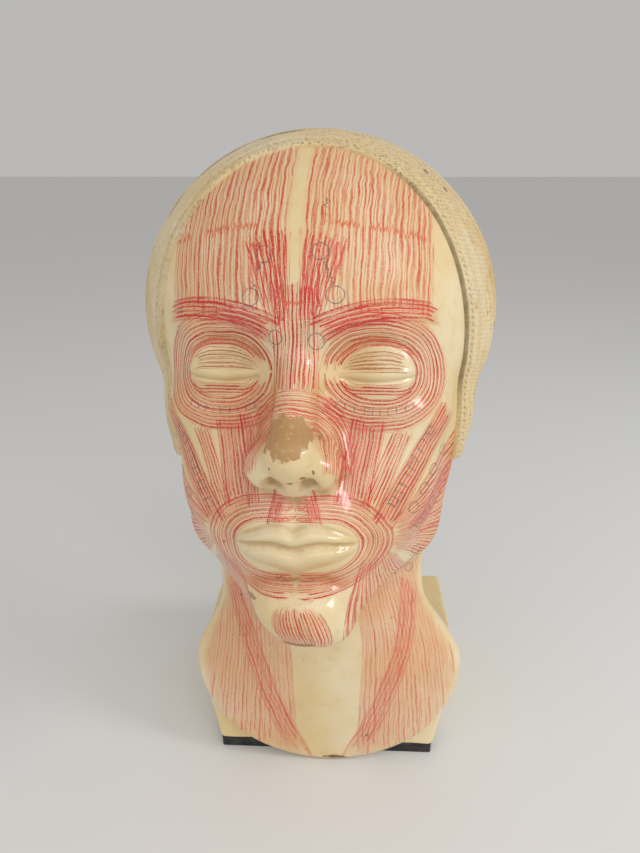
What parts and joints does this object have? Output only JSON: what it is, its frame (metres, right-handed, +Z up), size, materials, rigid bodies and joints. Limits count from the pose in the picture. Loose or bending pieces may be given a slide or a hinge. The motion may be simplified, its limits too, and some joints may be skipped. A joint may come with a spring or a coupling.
{
  "type": "anatomical study mask",
  "caption": "Life-size cast plaster face mask with closed eyes, a cloth-cap band and drawn facial muscles, leaning back on a tapered plaster block with a thin black foot plate.",
  "frame": {"origin": "centre of the foot plate's underside", "axes": "+Z up, the face looks along -Y, +X to the viewer's right"},
  "size_m": [0.1656, 0.1454, 0.2944],
  "materials": {
    "plaster": "varnished plaster with red pencil lines",
    "foot": "satin black"
  },
  "bodies": {
    "root": {"plaster_head": "plaster", "foot_plate": "foot"}
  },
  "joints": []
}
